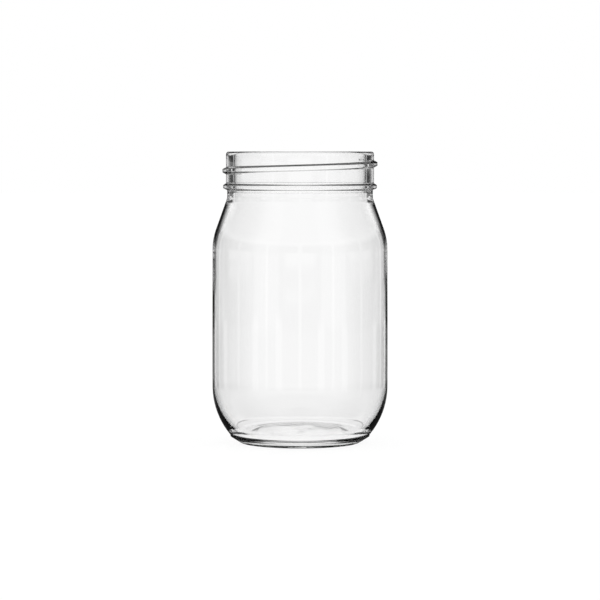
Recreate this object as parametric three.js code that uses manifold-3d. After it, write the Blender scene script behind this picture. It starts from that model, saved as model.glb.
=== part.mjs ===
// A clear glass drinking jar: one moulded piece with a rounded heel, a round body, a sloping shoulder
// and a screw-thread mouth with a bead below it.
// Millimetres, +Z up. The origin is the centre of the ring that the jar stands on.
import * as THREE from "three";
import { mergeVertices } from "three/addons/utils/BufferGeometryUtils.js";
import Module from "manifold-3d";

const wasm = await Module();
wasm.setup();

// Driving dimensions: the outside of the body
const JAR_HEIGHT = 130.2;
const BODY_RADIUS = 39.2;
const UPPER_BODY_INSET = 0.17; // the body's top corner is this much slimmer
const INSET_START = 54; // height where the body begins to taper to that
const INSET_ROUND = 400;
const SHOULDER_RADIUS = 26; // round between body and shoulder
const SHOULDER_HEIGHT = 18.2; // from the body's top corner to the neck's corner
const NECK_ROUND = 4; // hollow round between shoulder and neck

// Driving dimensions: the heel and the base
const HEEL_RADIUS = 34; // large round between body and heel
const HEEL_CORNER_HEIGHT = 13.6; // where the body's line and the heel's slope would meet
const HEEL_EDGE_RADIUS = 31.2; // small upright edge at the heel's lower end, left by the mould's base plate
const HEEL_EDGE_HEIGHT = 3.6; // top of that edge
const HEEL_EDGE_DEPTH = 0.6; // its height
const HEEL_EDGE_ROUND = 0.3;
const FOOT_RADIUS = 26.4; // where the slope under the edge would meet the table
const FOOT_ROUND = 2.4;
const BEARING_WIDTH = 3.4; // from the foot's corner in to the hollow under the base
const PUSH_UP_SLOPE_WIDTH = 4; // width of the slope from the bearing ring up to the hollow
const PUSH_UP_EDGE_HEIGHT = 1.2;
const PUSH_UP_HEIGHT = 1.8; // hollow under the base, at its centre
const PUSH_UP_ROUND = 1.2;

// Driving dimensions: the mouth
const FINISH_RADIUS = 33; // outside of the straight mouth, without its thread
const NECK_RADIUS = 32.5; // outside of the short neck below the bead
const NECK_DROP = 20.6; // from the rim down to the neck's corner with the shoulder
const RIM_ROUND = 1.1;
const BEAD_DROP = 15.6; // from the rim down to the middle of the bead
const BEAD_RADIUS = 34.3;
const BEAD_HALF_HEIGHT = 1.5;
const BEAD_CREST_HALF = 0.75; // half of the bead's height at its crest
const BEAD_ROUND = 0.7;
const BEAD_ROOT_ROUND = 0.5;

// Driving dimensions: the thread, which is right-handed
const THREAD_RADIUS = 34.6; // outside of the thread's crest
const THREAD_LEAD = 6.2; // rise in one turn
const THREAD_TURNS = 0.72;
const THREAD_DROP = 7; // from the rim down to the thread at the front
const THREAD_HALF_WIDTH = 1.55; // half of the ridge's width at the wall
const THREAD_CREST_HALF = 0.75; // half of its width at the crest
const THREAD_CREST_ROUND = 0.5;
const THREAD_FADE = THREE.MathUtils.degToRad(34); // turn in which each end rises out of the wall
const THREAD_ROOT_DEPTH = 0.5; // how far the ridge is set into the wall
const THREAD_BURIED = 0.1; // how far its faded ends lie under the wall's face

// Driving dimensions: the thickness of the glass
const FINISH_WALL = 3;
const UPPER_WALL = 1.5;
const LOWER_WALL = 1.35;
const FLOOR_THICKNESS = 1.9; // over the middle of the hollow under the base
const FLOOR_CROWN = 0.6; // the floor's middle stands this much above its edge
const FLOOR_RADIUS = 26;
const FLOOR_ROUND = 4;
const INNER_HEEL_RADIUS = 33;
const INNER_HEEL_DROP = 0.3; // from the outer heel's corner down to the inner one
const INNER_SHOULDER_RADIUS = 24;
const INNER_NECK_DROP = 1.4; // from the outer neck's corner down to the inner one
const INNER_NECK_ROUND = 6;

// How finely round forms are divided
const TURN_SEGMENTS = 64;
const ARC_ERROR = 0.045; // how far the middle of a facet may lie from its arc
const THREAD_STEP = (2 * Math.PI) / TURN_SEGMENTS; // the thread's facets line up with the wall's
const LARGEST_ROUND_SHARE = 0.98; // of a straight run, that the rounds at its two ends may take
const SAME_POINT = 1e-4; // vertices closer than this are one vertex
const NO_LENGTH = 1e-9; // lengths and turns below this count as none

// A corner of a profile: its distance from the axis, its height, and the round that it gets.
const corner = (radius, height, round = 0) => ({ at: new THREE.Vector2(radius, height), round });

// The points of a profile whose corners are rounded by tangent arcs.
// Where a straight run is too short for the rounds at its ends, both are made smaller.
function roundedProfile(corners) {
  const along = corners.slice(1).map((c, i) => c.at.clone().sub(corners[i].at));
  const turn = corners.map((c, i) =>
    i === 0 || i === corners.length - 1 ? 0 : signedTurn(along[i - 1], along[i]),
  );
  const wanted = corners.map((c, i) => c.round * Math.tan(Math.abs(turn[i]) / 2));
  const share = along.map((run, i) =>
    Math.min(1, (LARGEST_ROUND_SHARE * run.length()) / Math.max(wanted[i] + wanted[i + 1], NO_LENGTH)),
  );
  return corners.flatMap((c, i) => {
    if (!c.round || Math.abs(turn[i]) < NO_LENGTH) return [c.at];
    const tangent = wanted[i] * Math.min(share[i - 1], share[i]);
    const arrival = along[i - 1].clone().normalize();
    const inward = new THREE.Vector2(-arrival.y, arrival.x).multiplyScalar(Math.sign(turn[i]));
    const start = c.at.clone().addScaledVector(arrival, -tangent);
    const radius = tangent / Math.tan(Math.abs(turn[i]) / 2);
    const centre = start.clone().addScaledVector(inward, radius);
    const steps = Math.ceil(Math.abs(turn[i]) / arcStep(radius));
    const pointAt = (_, k) => start.clone().rotateAround(centre, (turn[i] * k) / steps);
    return Array.from({ length: steps + 1 }, pointAt);
  });
}

// The angle that one facet of an arc spans.
function arcStep(radius) {
  return 2 * Math.acos(Math.max(0, 1 - ARC_ERROR / radius));
}

// The angle from one direction to the next, positive anticlockwise.
function signedTurn(before, after) {
  return Math.atan2(before.cross(after), before.dot(after));
}

// Outside of the jar, from the middle of the base out and up to the rim.
function outerCorners() {
  const upperRadius = BODY_RADIUS - UPPER_BODY_INSET;
  const neckHeight = JAR_HEIGHT - NECK_DROP;
  const beadHeight = JAR_HEIGHT - BEAD_DROP;
  const bearingInner = FOOT_RADIUS - BEARING_WIDTH;
  return [
    corner(0, PUSH_UP_HEIGHT),
    corner(bearingInner - PUSH_UP_SLOPE_WIDTH, PUSH_UP_EDGE_HEIGHT, PUSH_UP_ROUND),
    corner(bearingInner, 0, PUSH_UP_ROUND),
    corner(FOOT_RADIUS, 0, FOOT_ROUND),
    corner(HEEL_EDGE_RADIUS, HEEL_EDGE_HEIGHT - HEEL_EDGE_DEPTH, HEEL_EDGE_ROUND),
    corner(HEEL_EDGE_RADIUS, HEEL_EDGE_HEIGHT, HEEL_EDGE_ROUND),
    corner(BODY_RADIUS, HEEL_CORNER_HEIGHT, HEEL_RADIUS),
    corner(BODY_RADIUS, INSET_START, INSET_ROUND),
    corner(upperRadius, neckHeight - SHOULDER_HEIGHT, SHOULDER_RADIUS),
    corner(NECK_RADIUS, neckHeight, NECK_ROUND),
    corner(NECK_RADIUS, beadHeight - BEAD_HALF_HEIGHT, BEAD_ROOT_ROUND),
    corner(BEAD_RADIUS, beadHeight - BEAD_CREST_HALF, BEAD_ROUND),
    corner(BEAD_RADIUS, beadHeight + BEAD_CREST_HALF, BEAD_ROUND),
    corner(FINISH_RADIUS, beadHeight + BEAD_HALF_HEIGHT, BEAD_ROOT_ROUND),
    corner(FINISH_RADIUS, JAR_HEIGHT, RIM_ROUND),
  ];
}

// Inside of the jar, from the rim down to the middle of the floor.
function innerCorners() {
  const upperInner = BODY_RADIUS - UPPER_BODY_INSET - UPPER_WALL;
  const lowerInner = BODY_RADIUS - LOWER_WALL;
  const neckHeight = JAR_HEIGHT - NECK_DROP;
  const floorHeight = PUSH_UP_HEIGHT + FLOOR_THICKNESS;
  const mouthRadius = FINISH_RADIUS - FINISH_WALL;
  return [
    corner(mouthRadius, JAR_HEIGHT, RIM_ROUND),
    corner(mouthRadius, neckHeight - INNER_NECK_DROP, INNER_NECK_ROUND),
    corner(upperInner, neckHeight - SHOULDER_HEIGHT, INNER_SHOULDER_RADIUS),
    corner(lowerInner, INSET_START, INSET_ROUND),
    corner(lowerInner, HEEL_CORNER_HEIGHT - INNER_HEEL_DROP, INNER_HEEL_RADIUS),
    corner(FLOOR_RADIUS, floorHeight - FLOOR_CROWN, FLOOR_ROUND),
    corner(0, floorHeight),
  ];
}

// The jar without its thread: one closed profile turned round the axis.
function turnedGlass() {
  const profile = roundedProfile([...outerCorners(), ...innerCorners()]);
  return new THREE.LatheGeometry(profile, TURN_SEGMENTS).rotateX(Math.PI / 2);
}

// The section of the thread as distances out from the mouth's wall and up from the thread's line:
// a flat crest with rounded corners, and sloping flanks that run on into the wall.
function threadSection() {
  const stand = THREAD_RADIUS - FINISH_RADIUS;
  const flankSlope = (THREAD_HALF_WIDTH - THREAD_CREST_HALF) / stand;
  const rootHalf = THREAD_HALF_WIDTH + flankSlope * THREAD_ROOT_DEPTH;
  return roundedProfile([
    corner(-THREAD_ROOT_DEPTH, -rootHalf),
    corner(stand, -THREAD_CREST_HALF, THREAD_CREST_ROUND),
    corner(stand, THREAD_CREST_HALF, THREAD_CREST_ROUND),
    corner(-THREAD_ROOT_DEPTH, rootHalf),
  ]);
}

// The thread: its section carried round the front and sides of the mouth on a rising helix.
// At both ends the crest comes down until it lies just under the wall's face.
function threadRidge() {
  const section = threadSection();
  const halfSweep = Math.PI * THREAD_TURNS;
  const front = 1.5 * Math.PI; // the front of the jar faces -Y
  const halfSteps = Math.ceil(halfSweep / THREAD_STEP);
  const positions = [];
  for (let i = -halfSteps; i <= halfSteps; i++) {
    const fromFront = i * THREAD_STEP;
    const angle = front + fromFront;
    const grown = THREE.MathUtils.smoothstep(halfSweep - Math.abs(fromFront), 0, THREAD_FADE);
    const height = JAR_HEIGHT - THREAD_DROP + (THREAD_LEAD * fromFront) / (2 * Math.PI);
    for (const point of section) {
      const out = point.x > 0 ? THREE.MathUtils.lerp(-THREAD_BURIED, point.x, grown) : point.x;
      const radius = FINISH_RADIUS + out;
      positions.push(radius * Math.cos(angle), radius * Math.sin(angle), height + point.y);
    }
  }
  return new THREE.BufferGeometry()
    .setAttribute("position", new THREE.Float32BufferAttribute(positions, 3))
    .setIndex(loftFaces(2 * halfSteps, section.length));
}

// The faces of a closed section carried through a number of steps, with a flat cap at each end.
function loftFaces(steps, sides) {
  const faces = [];
  const at = (step, side) => step * sides + (side % sides);
  for (let step = 0; step < steps; step++)
    for (let side = 0; side < sides; side++) {
      faces.push(at(step, side), at(step + 1, side), at(step + 1, side + 1));
      faces.push(at(step, side), at(step + 1, side + 1), at(step, side + 1));
    }
  for (let side = 1; side < sides - 1; side++) {
    faces.push(at(0, 0), at(0, side), at(0, side + 1));
    faces.push(at(steps, 0), at(steps, side + 1), at(steps, side));
  }
  return faces;
}

// A closed geometry as a solid that can be joined to another: shared vertices merged, empty faces dropped.
function solidOf(geometry) {
  const bare = geometry.clone();
  for (const name of Object.keys(bare.attributes)) if (name !== "position") bare.deleteAttribute(name);
  const merged = mergeVertices(bare, SAME_POINT);
  const index = merged.index.array;
  const faces = [];
  for (let i = 0; i < index.length; i += 3) {
    const [a, b, c] = index.slice(i, i + 3);
    if (a !== b && b !== c && c !== a) faces.push(a, b, c);
  }
  return new wasm.Manifold(
    new wasm.Mesh({
      numProp: 3,
      vertProperties: merged.attributes.position.array,
      triVerts: new Uint32Array(faces),
    }),
  );
}

// A solid as a geometry again.
function geometryOf(solid) {
  const mesh = solid.getMesh();
  const geometry = new THREE.BufferGeometry()
    .setAttribute("position", new THREE.BufferAttribute(new Float32Array(mesh.vertProperties), 3))
    .setIndex(new THREE.BufferAttribute(new Uint32Array(mesh.triVerts), 1));
  geometry.computeVertexNormals();
  return geometry;
}

const clearGlass = new THREE.MeshStandardMaterial({
  color: 0xf1f6f4,
  roughness: 0.04,
  metalness: 0,
  transparent: true,
  opacity: 0.35,
});

const glassJar = new THREE.Mesh(geometryOf(solidOf(turnedGlass()).add(solidOf(threadRidge()))), clearGlass);
glassJar.name = "glass_jar";

const drinkingJar = new THREE.Group();
drinkingJar.add(glassJar);

export default drinkingJar;
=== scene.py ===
"""A clear glass drinking jar on a white table: fine glass surface, material, studio and camera."""
import math

import bpy
import numpy as np
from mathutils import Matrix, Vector


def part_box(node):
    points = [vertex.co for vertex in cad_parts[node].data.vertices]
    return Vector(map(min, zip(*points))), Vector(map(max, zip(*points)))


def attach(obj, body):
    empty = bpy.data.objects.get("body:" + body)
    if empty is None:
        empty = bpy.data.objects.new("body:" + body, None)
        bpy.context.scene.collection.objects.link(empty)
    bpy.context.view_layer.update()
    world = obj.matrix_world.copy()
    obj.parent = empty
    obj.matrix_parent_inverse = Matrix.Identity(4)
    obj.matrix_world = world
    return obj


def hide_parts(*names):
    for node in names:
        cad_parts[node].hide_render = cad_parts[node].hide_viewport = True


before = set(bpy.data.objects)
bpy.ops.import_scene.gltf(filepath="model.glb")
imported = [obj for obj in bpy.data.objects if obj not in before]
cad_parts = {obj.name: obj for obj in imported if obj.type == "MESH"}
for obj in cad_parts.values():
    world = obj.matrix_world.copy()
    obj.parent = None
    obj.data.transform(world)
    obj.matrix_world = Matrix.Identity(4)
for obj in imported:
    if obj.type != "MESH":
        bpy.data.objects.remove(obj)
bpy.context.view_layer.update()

MM = 0.001
GOLDEN_ANGLE = math.pi * (3 - math.sqrt(5))

# Guards for the arithmetic, and how much of a straight run the rounds at its ends may take
TINY = 1e-12
SAME_POINT = 1e-9
ROUND_SHARE = 0.98

# Sizes of the jar, in metres. Its height and body come from the frame.
jar_low, jar_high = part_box("glass_jar")
JAR_HEIGHT = jar_high[2] - jar_low[2]
BODY_RADIUS = (jar_high[0] - jar_low[0]) / 2
UPPER_BODY_INSET = 0.17 * MM
INSET_START = 54 * MM
INSET_ROUND = 400 * MM
SHOULDER_RADIUS = 26 * MM
SHOULDER_HEIGHT = 18.2 * MM
NECK_ROUND = 4 * MM

# Heel, foot and the hollow under the base
HEEL_RADIUS = 34 * MM
HEEL_CORNER_HEIGHT = 13.6 * MM
HEEL_EDGE_RADIUS = 31.2 * MM
HEEL_EDGE_HEIGHT = 3.6 * MM
HEEL_EDGE_DEPTH = 0.6 * MM
HEEL_EDGE_ROUND = 0.3 * MM
FOOT_RADIUS = 26.4 * MM
FOOT_ROUND = 2.4 * MM
BEARING_WIDTH = 3.4 * MM
PUSH_UP_SLOPE_WIDTH = 4 * MM
PUSH_UP_EDGE_HEIGHT = 1.2 * MM
PUSH_UP_HEIGHT = 1.8 * MM
PUSH_UP_ROUND = 1.2 * MM

# Mouth: wall, neck, rim and bead
FINISH_RADIUS = 33 * MM
NECK_RADIUS = 32.5 * MM
NECK_DROP = 20.6 * MM
RIM_ROUND = 1.1 * MM
BEAD_DROP = 15.6 * MM
BEAD_RADIUS = 34.3 * MM
BEAD_HALF_HEIGHT = 1.5 * MM
BEAD_CREST_HALF = 0.75 * MM
BEAD_ROUND = 0.7 * MM
BEAD_ROOT_ROUND = 0.5 * MM

# Screw thread on the mouth, and how far from it the wall's rows follow its rise
THREAD_RADIUS = 34.6 * MM
THREAD_LEAD = 6.2 * MM
THREAD_TURNS = 0.72
THREAD_DROP = 7 * MM
THREAD_HALF_WIDTH = 1.55 * MM
THREAD_CREST_HALF = 0.75 * MM
THREAD_CREST_ROUND = 0.5 * MM
THREAD_ROOT_ROUND = 0.25 * MM
THREAD_FADE = math.radians(34)
THREAD_ZONE = 2.1 * MM
THREAD_ZONE_END = 5.6 * MM

# Thickness of wall and floor, and the inside's own line
FINISH_WALL = 3 * MM
UPPER_WALL = 1.5 * MM
LOWER_WALL = 1.35 * MM
INNER_NECK_DROP = 1.4 * MM
FLOOR_THICKNESS = 1.9 * MM
FLOOR_CROWN = 0.6 * MM
FLOOR_RADIUS = 26 * MM
FLOOR_ROUND = 4 * MM
INNER_HEEL_RADIUS = 33 * MM
INNER_HEEL_DROP = 0.3 * MM
INNER_SHOULDER_RADIUS = 24 * MM
INNER_NECK_ROUND = 6 * MM

# Uneven floor, as blowing leaves it: waves, swirl in radians to the metre, fade as a share of its radius
FLOOR_WAVE = 0.18 * MM
FLOOR_WAVE_LENGTH = 12 * MM
FLOOR_WAVE_GROWTH = 3.5 * MM
FLOOR_WAVE_COUNT = 4
FLOOR_SWIRL = 25
FLOOR_WAVE_FADE = 0.5

# Uneven inner wall: its waves, and the climb and the count round the jar of each part
WALL_WAVE = 0.006 * MM
WALL_WAVE_HEIGHT = 31 * MM
WALL_WAVE_START = WALL_WAVE_HEIGHT / 2
WALL_WAVE_PARTS = ((1.0, 2), (1.7, -3), (0.0, 5))

# Painted dark lines on the glass, painted shade in its colour: how strongly each part darkens at a slant;
# the higher, the sooner it darkens
RIM_LINE = 1.0
THREAD_UPPER_LINE = 1.7
THREAD_LOWER_LINE = 0.84
BEAD_UPPER_LINE = 1.3
BEAD_LOWER_LINE = 0.89
MOUTH_WALL_LINE = 0.72
HEEL_LINE = 3.0
HEEL_LINE_HALF = 0.4 * MM
HEEL_LINE_REACH = 1 * MM
FOOT_LINE = 0.86
FOOT_LINE_START = 0.7 * MM
FOOT_LEAN = 0.5

# How the painted dark lines show: the lean and slant at which they come in, their painted shade, and the
# fade of those on flanks
LINE_SLOPE = (0.2, 0.6)
LINE_SLANT = (0.4, 0.6)
LINE_PAINTED_SHADE = 0.003
FLANK_LINE = 1.01 * MOUTH_WALL_LINE
FLANK_LINE_FADE = (0.76, 0.88)
FLANK_LINE_END = 0.3

# Faint painted shade of all the glass at a slant, and the slants between which it comes in
SLANT_SHADE = 0.08
SLANT_SHADE_RANGE = (0.08, 0.3)

# The glass itself: its refraction, and how evenly its slant is measured
GLASS_IOR = 1.52
EVEN_BLEND = 0.5

# Its fire-polished skin: waves to the metre, detail and range of their noise, depth and dullness
SKIN_WAVES = 55.0
SKIN_DETAIL = 1.0
SKIN_NOISE = (0.3, 0.7)
SKIN_DEPTH = 0.02 * MM
SKIN_DULLNESS = 0.006

# How finely the glass is divided
TURN_STEPS = 320
PROFILE_STEPS = 300
ARC_STEPS = 40
PLAIN_STEP = 2.4 * MM
THREAD_ROW_STEP = 0.09 * MM
FLOOR_ROW_STEP = 0.9 * MM
BEND_STEP = math.radians(9)


def rounded(corners):
    """Profile points (radius, height): each corner (radius, height, round) becomes a tangent arc.

    The arc's centre lies off the arriving run by the round, and the arc turns by the corner's angle.
    Rounds are cut down where a straight run is too short for the two at its ends.
    """
    table = np.array([c if len(c) == 3 else (*c, 0.0) for c in corners])
    at, wish = table[:, :2], table[:, 2]
    run = np.diff(at, axis=0)
    length = np.linalg.norm(run, axis=1)
    unit = run / length[:, None]
    arrive = np.vstack([unit[:1], unit])
    leave = np.vstack([unit, unit[-1:]])
    cross = arrive[:, 0] * leave[:, 1] - arrive[:, 1] * leave[:, 0]
    turn = np.arctan2(cross, np.sum(arrive * leave, axis=1))
    half = np.tan(np.abs(turn) / 2)
    tangent = wish * half
    share = np.minimum(1, ROUND_SHARE * length / np.maximum(tangent[:-1] + tangent[1:], TINY))
    tangent[1:-1] *= np.minimum(share[:-1], share[1:])
    radius = tangent / np.maximum(half, TINY)
    inward = np.stack([-arrive[:, 1], arrive[:, 0]], axis=1) * np.sign(turn)[:, None]
    start = at - arrive * tangent[:, None]
    spoke = -inward * radius[:, None]
    angle = turn[:, None] * np.linspace(0, 1, ARC_STEPS)
    cosine, sine = np.cos(angle), np.sin(angle)
    swung = np.stack(
        [spoke[:, :1] * cosine - spoke[:, 1:] * sine, spoke[:, :1] * sine + spoke[:, 1:] * cosine], axis=2
    )
    points = (start - spoke)[:, None] + swung
    points = points.reshape(-1, 2)
    apart = np.linalg.norm(np.diff(points, axis=0), axis=1) > SAME_POINT
    return points[np.concatenate([[True], apart])]


def outer_corners():
    """Outside of the jar from the middle of the base to the rim, as corners with rounds."""
    upper = BODY_RADIUS - UPPER_BODY_INSET
    neck = JAR_HEIGHT - NECK_DROP
    bead = JAR_HEIGHT - BEAD_DROP
    bearing = FOOT_RADIUS - BEARING_WIDTH
    return [
        (0, PUSH_UP_HEIGHT),
        (bearing - PUSH_UP_SLOPE_WIDTH, PUSH_UP_EDGE_HEIGHT, PUSH_UP_ROUND),
        (bearing, 0, PUSH_UP_ROUND),
        (FOOT_RADIUS, 0, FOOT_ROUND),
        (HEEL_EDGE_RADIUS, HEEL_EDGE_HEIGHT - HEEL_EDGE_DEPTH, HEEL_EDGE_ROUND),
        (HEEL_EDGE_RADIUS, HEEL_EDGE_HEIGHT, HEEL_EDGE_ROUND),
        (BODY_RADIUS, HEEL_CORNER_HEIGHT, HEEL_RADIUS),
        (BODY_RADIUS, INSET_START, INSET_ROUND),
        (upper, neck - SHOULDER_HEIGHT, SHOULDER_RADIUS),
        (NECK_RADIUS, neck, NECK_ROUND),
        (NECK_RADIUS, bead - BEAD_HALF_HEIGHT, BEAD_ROOT_ROUND),
        (BEAD_RADIUS, bead - BEAD_CREST_HALF, BEAD_ROUND),
        (BEAD_RADIUS, bead + BEAD_CREST_HALF, BEAD_ROUND),
        (FINISH_RADIUS, bead + BEAD_HALF_HEIGHT, BEAD_ROOT_ROUND),
        (FINISH_RADIUS, JAR_HEIGHT, RIM_ROUND),
    ]


def inner_corners():
    """Inside of the jar from the rim to the middle of the floor, as corners with rounds."""
    upper = BODY_RADIUS - UPPER_BODY_INSET - UPPER_WALL
    lower = BODY_RADIUS - LOWER_WALL
    neck = JAR_HEIGHT - NECK_DROP
    floor = PUSH_UP_HEIGHT + FLOOR_THICKNESS
    mouth = FINISH_RADIUS - FINISH_WALL
    return [
        (mouth, JAR_HEIGHT, RIM_ROUND),
        (mouth, neck - INNER_NECK_DROP, INNER_NECK_ROUND),
        (upper, neck - SHOULDER_HEIGHT, INNER_SHOULDER_RADIUS),
        (lower, INSET_START, INSET_ROUND),
        (lower, HEEL_CORNER_HEIGHT - INNER_HEEL_DROP, INNER_HEEL_RADIUS),
        (FLOOR_RADIUS, floor - FLOOR_CROWN, FLOOR_ROUND),
        (0, floor),
    ]


def spaced(points, count):
    """The profile again with a set number of points, closer where it bends and where more rows are needed.

    Points lie at equal steps of a running sum of length over plain step, turn over bend step, and
    length over row step on the threaded wall and on the floor.
    """
    run = np.diff(points, axis=0)
    length = np.linalg.norm(run, axis=1)
    heading = np.unwrap(np.arctan2(run[:, 1], run[:, 0]))
    bend = np.abs(np.gradient(heading))
    middle = (points[1:] + points[:-1]) / 2
    threaded = np.abs(middle[:, 1] - JAR_HEIGHT + THREAD_DROP) < THREAD_ZONE
    threaded &= middle[:, 0] > FINISH_RADIUS - FINISH_WALL / 2
    floor = (np.arange(len(run)) > np.argmax(points[:, 1])) & (middle[:, 0] < FLOOR_RADIUS)
    weight = length / PLAIN_STEP + bend / BEND_STEP
    weight += threaded * length / THREAD_ROW_STEP
    weight += floor * length / FLOOR_ROW_STEP
    total = np.concatenate([[0], np.cumsum(weight)])
    wanted = np.linspace(0, total[-1], count)
    return np.stack([np.interp(wanted, total, points[:, k]) for k in (0, 1)], axis=1)


def smooth(x):
    """Rises from 0 to 1 over x from 0 to 1 with level ends."""
    x = np.clip(x, 0, 1)
    return x * x * (3 - 2 * x)


def thread_relief(away, from_front):
    """How far the thread stands out, from the distance to its helix and the angle from the front.

    The section has a flat crest, straight flanks and rounds, and the ridge fades smoothly at its two ends.
    """
    stand = THREAD_RADIUS - FINISH_RADIUS
    half, crest = THREAD_HALF_WIDTH, THREAD_CREST_HALF
    section = rounded([
        (-2 * half, 0),
        (-half, 0, THREAD_ROOT_ROUND),
        (-crest, stand, THREAD_CREST_ROUND),
        (crest, stand, THREAD_CREST_ROUND),
        (half, 0, THREAD_ROOT_ROUND),
        (2 * half, 0),
    ])
    sweep = 2 * math.pi * THREAD_TURNS
    fade = smooth((sweep / 2 - np.abs(from_front)) / THREAD_FADE)
    return np.interp(away, section[:, 0], section[:, 1]) * fade


def thread_rise(from_front):
    """Height of the helix over its height at the front: lead times angle, led back to 0 past its ends."""
    sweep = 2 * math.pi * THREAD_TURNS
    back = smooth((math.pi - np.abs(from_front)) / (math.pi - sweep / 2))
    return THREAD_LEAD * from_front / (2 * math.pi) * back


def floor_waves(radius, around):
    """Rise of the uneven floor: sines in several directions that swirl with the radius and fade outwards."""
    total = 0
    for k in range(FLOOR_WAVE_COUNT):
        across = radius * np.cos(around - GOLDEN_ANGLE * k - FLOOR_SWIRL * radius)
        total = total + np.sin(2 * math.pi * across / (FLOOR_WAVE_LENGTH + FLOOR_WAVE_GROWTH * k) + k)
    fade = smooth((1 - radius / FLOOR_RADIUS) / FLOOR_WAVE_FADE)
    return FLOOR_WAVE * total / FLOOR_WAVE_COUNT * fade


def wall_waves(height, around):
    """How far the uneven inner wall stands out: slow sines up and round it, none at mouth and floor."""
    up = 2 * math.pi * height / WALL_WAVE_HEIGHT
    low = smooth((height - WALL_WAVE_START) / WALL_WAVE_HEIGHT)
    high = smooth((JAR_HEIGHT - NECK_DROP - height) / WALL_WAVE_HEIGHT)
    total = sum(np.sin(climb * up + count * around) for climb, count in WALL_WAVE_PARTS)
    return WALL_WAVE * low * high * total


def glass_surface():
    """The jar's whole glass skin as rings of points: the profile turned round the axis, plus its thread.

    A point is (radius cos, radius sin, height). On the mouth's wall the rings rise with the thread's helix,
    and the thread's relief is added to the radius. The inside gets its floor and wall waves.
    """
    profile = spaced(rounded(outer_corners() + inner_corners()), PROFILE_STEPS)
    radius, height = profile[:, :1], profile[:, 1:]
    from_front = (2 * math.pi * np.arange(TURN_STEPS) / TURN_STEPS - math.pi)[None, :]
    away = height - (JAR_HEIGHT - THREAD_DROP)
    wall = (np.arange(PROFILE_STEPS) < np.argmax(profile[:, 1]))[:, None]
    follow = wall * smooth((THREAD_ZONE_END - np.abs(away)) / (THREAD_ZONE_END - THREAD_ZONE))
    radius = radius + wall * thread_relief(away, from_front)
    height = height + follow * thread_rise(from_front)
    around = from_front - math.pi / 2
    inside = (np.arange(PROFILE_STEPS) > np.argmax(profile[:, 1]))[:, None]
    radius, height = (
        radius + inside * wall_waves(height, around),
        height + inside * floor_waves(radius, around),
    )
    return np.stack([radius * np.cos(around), radius * np.sin(around), height], axis=2)


def flank_lines(radius, height, lean):
    """Strength of the painted dark lines on the outside of the mouth: both flanks of thread and bead, and
    the rim's round.

    Each has its own strength, times a smooth step of the lean.
    """
    on_bead = height < JAR_HEIGHT - BEAD_DROP + 2 * BEAD_HALF_HEIGHT
    on_rim = height > JAR_HEIGHT - 2 * RIM_ROUND
    upper = np.where(on_bead, BEAD_UPPER_LINE, np.where(on_rim, RIM_LINE, THREAD_UPPER_LINE))
    lower = np.where(on_bead, BEAD_LOWER_LINE, THREAD_LOWER_LINE)
    steep = smooth((np.abs(lean) - LINE_SLOPE[0]) / (LINE_SLOPE[1] - LINE_SLOPE[0]))
    on_mouth = (radius > FINISH_RADIUS - FINISH_WALL / 2) & (height > JAR_HEIGHT - NECK_DROP)
    return on_mouth * steep * np.where(lean > 0, upper, lower)


def line_strength(rings):
    """Strength of the painted dark lines at each point of the glass: mouth outside and inside, heel edge and
    foot, 0 elsewhere.

    The lean is the height part of the surface's normal along the profile. Each strength comes in and goes
    out by smooth steps of height and lean.
    """
    radius, height = np.linalg.norm(rings[:, :, :2], axis=2), rings[:, :, 2]
    out, up = np.gradient(radius, axis=0), np.gradient(height, axis=0)
    lean = -out / np.maximum(np.hypot(out, up), TINY)
    row = np.arange(len(rings))[:, None]
    top = np.argmax(height.mean(axis=1))
    wall = MOUTH_WALL_LINE * smooth((height - JAR_HEIGHT + NECK_DROP) / BEAD_HALF_HEIGHT)
    at_edge = smooth(2 - np.abs(height - HEEL_EDGE_HEIGHT) / HEEL_LINE_HALF)
    heel = HEEL_LINE * at_edge * (radius > HEEL_EDGE_RADIUS - HEEL_LINE_REACH)
    above_ring = smooth(height / FOOT_LINE_START - 1)
    foot = FOOT_LINE * (height < HEEL_EDGE_HEIGHT) * smooth(-lean / FOOT_LEAN) * above_ring
    outside = flank_lines(radius, height, lean) + np.maximum(heel, foot)
    return np.where(row <= top, outside, wall)


def skin_mesh(name, rings):
    """A closed mesh from rings of points: four-sided faces between rings and a fan at each end's pole.

    Each point's strength of painted dark line goes into the attribute "line".
    """
    rows, columns, _ = rings.shape
    inner = rings[1:-1].reshape(-1, 3)
    poles = np.stack([rings[0].mean(axis=0), rings[-1].mean(axis=0)])
    points = np.vstack([inner, poles])
    grid = np.arange(len(inner)).reshape(rows - 2, columns)
    ahead = np.roll(grid, -1, axis=1)
    quads = np.stack([grid[:-1], ahead[:-1], ahead[1:], grid[1:]], axis=2).reshape(-1, 4)
    first = np.stack([np.full(columns, len(inner)), ahead[0], grid[0]], axis=1)
    last = np.stack([np.full(columns, len(inner) + 1), grid[-1], ahead[-1]], axis=1)
    corners = np.concatenate([quads.ravel(), first.ravel(), last.ravel()])
    sides = np.concatenate([np.full(len(quads), 4), np.full(2 * columns, 3)])
    mesh = bpy.data.meshes.new(name)
    mesh.vertices.add(len(points))
    mesh.vertices.foreach_set("co", points.ravel())
    mesh.loops.add(len(corners))
    mesh.loops.foreach_set("vertex_index", corners)
    mesh.polygons.add(len(sides))
    mesh.polygons.foreach_set("loop_start", np.concatenate([[0], np.cumsum(sides)[:-1]]))
    mesh.polygons.foreach_set("use_smooth", np.ones(len(sides), dtype=bool))
    mesh.update(calc_edges=True)
    # Strength of the painted dark lines, which the material turns into painted shade
    line = np.concatenate([line_strength(rings)[1:-1].ravel(), np.zeros(len(poles))])
    mesh.attributes.new("line", "FLOAT", "POINT").data.foreach_set("value", line)
    mesh.validate()
    return mesh


def node(tree, kind, **values):
    """A shader node with its settings and unlinked inputs set by name."""
    made = tree.nodes.new(kind)
    for key, value in values.items():
        if key in made.inputs:
            made.inputs[key].default_value = value
        else:
            setattr(made, key, value)
    return made


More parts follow.
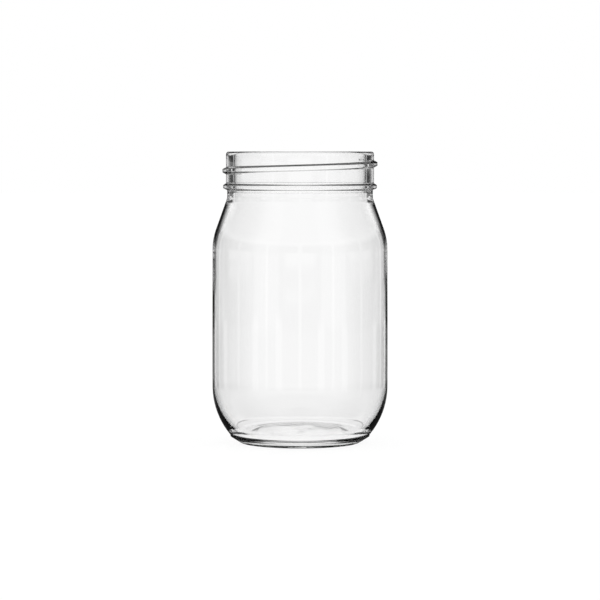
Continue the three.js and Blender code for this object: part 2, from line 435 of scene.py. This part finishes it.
def math_node(tree, operation, first, second=None):
    """A Math node whose inputs are sockets or plain numbers; gives its output socket."""
    made = tree.nodes.new("ShaderNodeMath")
    made.operation = operation
    for slot, value in enumerate((first, second)):
        if value is None:
            continue
        if isinstance(value, (int, float)):
            made.inputs[slot].default_value = value
        else:
            tree.links.new(value, made.inputs[slot])
    return made.outputs[0]


def product(tree, first, *others):
    """The product of sockets or plain numbers; gives its output socket."""
    for other in others:
        first = math_node(tree, "MULTIPLY", first, other)
    return first


def blend_numbers(tree, first, second, share):
    """First where share is 0, second where share is 1; gives its output socket."""
    made = tree.nodes.new("ShaderNodeMix")
    made.data_type = "FLOAT"
    for key, value in (("Factor", share), ("A", first), ("B", second)):
        if isinstance(value, (int, float)):
            made.inputs[key].default_value = value
        else:
            tree.links.new(value, made.inputs[key])
    return made.outputs["Result"]


def ramp(tree, value, low, high, at_low, at_high):
    """A smooth step from one number to another as value goes from low to high; gives its output socket."""
    made = tree.nodes.new("ShaderNodeMapRange")
    made.interpolation_type = "SMOOTHSTEP"
    tree.links.new(value, made.inputs["Value"])
    for key, number in zip(("From Min", "From Max", "To Min", "To Max"), (low, high, at_low, at_high)):
        made.inputs[key].default_value = number
    return made.outputs["Result"]


def painted_glass_shade(tree, place):
    """Painted shade in the glass's colour: a little darker at a slant, and dark painted lines where these
    are at a slant.

    A painted line darkens with its strength times the slant, where a ray meets it from the air. On the
    mouth's flanks it fades again towards the outline.
    """
    line = node(tree, "ShaderNodeAttribute", attribute_name="line").outputs["Fac"]
    slant = node(tree, "ShaderNodeLayerWeight", Blend=EVEN_BLEND).outputs["Facing"]
    turned_away = node(tree, "ShaderNodeNewGeometry").outputs["Backfacing"]
    split = node(tree, "ShaderNodeSeparateXYZ")
    tree.links.new(place, split.inputs[0])
    in_mouth = math_node(tree, "GREATER_THAN", split.outputs["Z"], JAR_HEIGHT / 2)
    on_flank = product(tree, in_mouth, math_node(tree, "GREATER_THAN", line, FLANK_LINE))
    faded = ramp(tree, slant, *FLANK_LINE_FADE, 1.0, FLANK_LINE_END)
    darkness = product(
        tree,
        ramp(tree, product(tree, line, slant), *LINE_SLANT, 0.0, 1.0),
        math_node(tree, "SUBTRACT", 1.0, turned_away),
        blend_numbers(tree, 1.0, faded, on_flank),
    )
    # Painted shade: the dark lines darken the glass's colour
    painted_lines = ramp(tree, darkness, 0.0, 1.0, 1.0, LINE_PAINTED_SHADE)
    # Painted shade: the glass's colour darkens a little at a slant
    slanted = ramp(tree, slant, *SLANT_SHADE_RANGE, 1.0, 1.0 - SLANT_SHADE)
    return product(tree, painted_lines, slanted)


def clear_glass():
    """Clear fire-polished glass: painted shade in its colour draws the dark lines and darkens it a little at
    a slant, and a faint noise bends and dulls its skin.

    Colour and roughness also get plain values, for programs that do not read the nodes.
    """
    material = bpy.data.materials.new("clear_glass")
    material.use_nodes = True
    tree = material.node_tree
    shader = tree.nodes["Principled BSDF"]
    shader.inputs["Base Color"].default_value = (1.0, 1.0, 1.0, 1)
    shader.inputs["Roughness"].default_value = 0.0
    shader.inputs["IOR"].default_value = GLASS_IOR
    shader.inputs["Transmission Weight"].default_value = 1.0
    place = node(tree, "ShaderNodeTexCoord").outputs["Object"]
    painted_shade = painted_glass_shade(tree, place)
    colour = node(tree, "ShaderNodeCombineColor")
    for channel in range(3):
        tree.links.new(painted_shade, colour.inputs[channel])
    # The painted shade goes into the glass's base colour
    tree.links.new(colour.outputs[0], shader.inputs["Base Color"])

    skin = node(tree, "ShaderNodeTexNoise", Scale=SKIN_WAVES, Detail=SKIN_DETAIL)
    tree.links.new(place, skin.inputs["Vector"])
    bend = node(tree, "ShaderNodeBump", Strength=1.0, Distance=SKIN_DEPTH)
    tree.links.new(skin.outputs[0], bend.inputs["Height"])
    tree.links.new(bend.outputs["Normal"], shader.inputs["Normal"])
    dullness = ramp(tree, skin.outputs[0], *SKIN_NOISE, 0.0, SKIN_DULLNESS)
    tree.links.new(dullness, shader.inputs["Roughness"])
    return material


# Levels at the two ends of a step that comes in, and of one that goes out
RISES = (0.0, 1.0)
FALLS = (1.0, 0.0)

# The studio as the glass sees it: angles in degrees, light levels where 1 is white
WHITE = 1.0
BACKDROP_LEVEL = 1.0
LOW_SHADE = -0.07
LOW_SHADE_TOP = (-9.5, -6)
LOW_LIGHT = 0.1
LOW_LIGHT_TOP = (-20, -15)
HIGH_LIGHT = 0.3
HIGH_LIGHT_FOOT = (8, 13)
TOP_SHADE = -0.5
TOP_SHADE_FOOT = (18, 26)
TABLE_EDGE = (-4.1, -3.3)

# Dark flags that only light turned back inside one wall sees, told by its passes and its turns
ONE_WALL_DEPTH = 2.5
TURNED_DEPTH = 0.5
FLAG_LEVEL = 0.0
FLAG_TOP = (-0.75, -0.4)
FLAG_TOP_LEVEL = 0.16
FLAG_TOP_END = (2, 4)
FLAG_FOOT = (-12, -9)
FLAG_HEAD = (11, 21)
FLAG_NEAR = (1, 3)
MOUTH_FLAG_NEAR = (15, 25)
MOUTH_FLAG_FOOT = (-2.2, -1.0)
FLAG_FAR = (42, 45)
FLAG_GAP_NEAR = (22, 25.5)
FLAG_GAP_FAR = (31, 34)
FLAG_GAP_TOP = (-3.6, -2.0)
TABLE_FLAG_LEVEL = 0.2

# What reflections see
REFLECTED_DARK = 0.03
REFLECTED_LIGHT = 0.6
REFLECTED_HIGH = (-1.2, -0.7)
REFLECTED_HIGH_LIGHT = 0.3
REFLECTED_TABLE = 0.1
REFLECTED_LOW = (-12, -8)
REFLECTED_EDGE = (25.5, 29.5)


def stepped(tree, angle, degrees, levels):
    """A smooth step between two levels as an angle goes through two angles given in degrees."""
    low, high = (math.radians(number) for number in degrees)
    return ramp(tree, angle, low, high, *levels)


def ray_angles(tree):
    """A ray's rise over the horizon, and its slant from the nearest of front, back, left and right."""
    where = node(tree, "ShaderNodeTexCoord")
    split = node(tree, "ShaderNodeSeparateXYZ")
    tree.links.new(where.outputs["Generated"], split.inputs[0])
    side, depth = (math_node(tree, "ABSOLUTE", split.outputs[axis]) for axis in "XY")
    lesser = math_node(tree, "MINIMUM", side, depth)
    greater = math_node(tree, "MAXIMUM", side, depth)
    rise = math_node(tree, "ARCSINE", split.outputs["Z"])
    return rise, math_node(tree, "ARCTAN2", lesser, greater)


def backdrop_level(tree, rise):
    """Level of the plain studio: the backdrop's, plus what each band low down and high up adds."""
    level = BACKDROP_LEVEL
    for degrees, levels in (
        (LOW_SHADE_TOP, (LOW_SHADE, 0.0)),
        (LOW_LIGHT_TOP, (LOW_LIGHT, 0.0)),
        (HIGH_LIGHT_FOOT, (0.0, HIGH_LIGHT)),
        (TOP_SHADE_FOOT, (0.0, TOP_SHADE)),
    ):
        level = math_node(tree, "ADD", level, stepped(tree, rise, degrees, levels))
    return level


def turned_back(tree, path):
    """1 for light that was turned back inside one wall of glass, 0 for other light."""
    one_wall = math_node(tree, "LESS_THAN", path.outputs["Transmission Depth"], ONE_WALL_DEPTH)
    mirrored = math_node(tree, "GREATER_THAN", path.outputs["Glossy Depth"], TURNED_DEPTH)
    return product(tree, one_wall, mirrored)


def flag_level(tree, rise, on_table):
    """Level of the flags: dark, a little lighter for nearly level rays and for rays that meet the table."""
    level = stepped(tree, rise, FLAG_TOP, (FLAG_LEVEL, FLAG_TOP_LEVEL))
    level = blend_numbers(tree, level, FLAG_LEVEL, stepped(tree, rise, FLAG_TOP_END, RISES))
    return blend_numbers(tree, level, TABLE_FLAG_LEVEL, on_table)


def flag_share(tree, rise, slant):
    """1 on the flags, 0 off them: smooth steps from foot to head and near to far end, less a gap low down.

    For the mouth's nearly level rays the near end lies further out.
    """
    upright = product(tree, stepped(tree, rise, FLAG_FOOT, RISES), stepped(tree, rise, FLAG_HEAD, FALLS))
    gap = product(
        tree,
        stepped(tree, slant, FLAG_GAP_NEAR, RISES),
        stepped(tree, slant, FLAG_GAP_FAR, FALLS),
        stepped(tree, rise, FLAG_GAP_TOP, FALLS),
    )
    over_body = stepped(tree, rise, MOUTH_FLAG_FOOT, RISES)
    at_mouth = product(tree, over_body, stepped(tree, rise, FLAG_TOP_END, FALLS))
    body_near = stepped(tree, slant, FLAG_NEAR, RISES)
    mouth_near = stepped(tree, slant, MOUTH_FLAG_NEAR, RISES)
    near_end = blend_numbers(tree, body_near, mouth_near, at_mouth)
    far_end = stepped(tree, slant, FLAG_FAR, FALLS)
    return product(tree, upright, near_end, far_end, math_node(tree, "SUBTRACT", 1.0, gap))


def mirrored_level(tree, rise, slant, on_table):
    """Level that reflections see: dark sides, lighter corners between them, dark on the table and below."""
    light = stepped(tree, rise, REFLECTED_HIGH, (REFLECTED_LIGHT, REFLECTED_HIGH_LIGHT))
    level = blend_numbers(tree, REFLECTED_DARK, light, stepped(tree, slant, REFLECTED_EDGE, RISES))
    level = blend_numbers(tree, level, REFLECTED_TABLE, on_table)
    return blend_numbers(tree, REFLECTED_DARK, level, stepped(tree, rise, REFLECTED_LOW, RISES))


def studio_world():
    """White to the camera and to the table top. Glass sees a nearly even white studio.

    Light turned back inside one wall sees dark flags, which draw the jar's edges. Reflections see dark
    sides in front, behind, left and right, and lighter corners between them.
    """
    world = bpy.data.worlds.new("studio")
    world.use_nodes = True
    bpy.context.scene.world = world
    tree = world.node_tree
    tree.nodes.clear()
    rise, slant = ray_angles(tree)
    path = node(tree, "ShaderNodeLightPath")
    on_table = stepped(tree, rise, TABLE_EDGE, FALLS)
    flagged = product(tree, turned_back(tree, path), flag_share(tree, rise, slant))
    level = blend_numbers(tree, backdrop_level(tree, rise), flag_level(tree, rise, on_table), flagged)
    mirrored = mirrored_level(tree, rise, slant, on_table)
    level = blend_numbers(tree, level, mirrored, path.outputs["Is Reflection Ray"])
    plain = math_node(tree, "MAXIMUM", path.outputs["Is Camera Ray"], path.outputs["Is Diffuse Ray"])
    level = blend_numbers(tree, level, WHITE, plain)
    light = node(tree, "ShaderNodeBackground", Color=(1, 1, 1, 1))
    tree.links.new(level, light.inputs["Strength"])
    out = node(tree, "ShaderNodeOutputWorld")
    tree.links.new(light.outputs[0], out.inputs["Surface"])


# The table top: radius and drop in metres, the share of its white that takes light, and a surplus of glow
TABLE_RADIUS = 6.0
TABLE_DROP = 0.2 * MM
TABLE_POINTS = 96
TABLE_SHADE = 0.1
TABLE_MARGIN = 0.02


def white_table():
    """A wide round table top under the jar: points on a circle. Most of its white glows, so it stays white.

    The glass does not see it, and sees the studio below the horizon in its place.
    """
    turn = np.linspace(0, 2 * math.pi, TABLE_POINTS, endpoint=False)
    level = np.full(TABLE_POINTS, -TABLE_DROP)
    rim = np.stack([TABLE_RADIUS * np.cos(turn), TABLE_RADIUS * np.sin(turn), level], axis=1)
    mesh = bpy.data.meshes.new("table")
    mesh.from_pydata(rim.tolist(), [], [list(range(TABLE_POINTS))])
    table = bpy.data.objects.new("table", mesh)
    bpy.context.scene.collection.objects.link(table)
    material = bpy.data.materials.new("white_table")
    material.use_nodes = True
    tree = material.node_tree
    tree.nodes.clear()
    diffuse = node(tree, "ShaderNodeBsdfDiffuse", Color=(TABLE_SHADE, TABLE_SHADE, TABLE_SHADE, 1))
    glow = node(tree, "ShaderNodeEmission", Strength=1 - TABLE_SHADE + TABLE_MARGIN)
    both = node(tree, "ShaderNodeAddShader")
    tree.links.new(diffuse.outputs[0], both.inputs[0])
    tree.links.new(glow.outputs[0], both.inputs[1])
    out = node(tree, "ShaderNodeOutputMaterial")
    tree.links.new(both.outputs[0], out.inputs["Surface"])
    table.data.materials.append(material)
    table.visible_glossy = False
    table.visible_transmission = False


# The camera, a little above the rim and a little over a metre away; lens and sensor in millimetres
CAMERA_DISTANCE = 1.23
CAMERA_HEIGHT = 0.1345
AIM_HEIGHT = 0.0639
LENS = 165.2
SENSOR_WIDTH = 36
VIEW_END = 50


def place_camera():
    """Looks down a little at the middle of the jar's front."""
    data = bpy.data.cameras.new("camera")
    data.lens = LENS
    data.sensor_width = SENSOR_WIDTH
    data.clip_end = VIEW_END
    camera = bpy.data.objects.new("camera", data)
    camera.location = (0, -CAMERA_DISTANCE, CAMERA_HEIGHT)
    aim = Vector((0, 0, AIM_HEIGHT)) - camera.location
    camera.rotation_euler = aim.to_track_quat("-Z", "Y").to_euler()
    bpy.context.scene.collection.objects.link(camera)
    bpy.context.scene.camera = camera


# How often light may go through glass and be mirrored
LIGHT_BOUNCES = 24
GLOSSY_BOUNCES = 12

jar = bpy.data.objects.new("jar_glass", skin_mesh("jar_glass", glass_surface()))
bpy.context.scene.collection.objects.link(jar)
jar.data.materials.append(clear_glass())
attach(jar, "root")
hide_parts("glass_jar")

studio_world()
white_table()
place_camera()

bpy.context.scene.view_settings.view_transform = "Standard"
bpy.context.scene.cycles.max_bounces = LIGHT_BOUNCES
bpy.context.scene.cycles.transmission_bounces = LIGHT_BOUNCES
bpy.context.scene.cycles.glossy_bounces = GLOSSY_BOUNCES
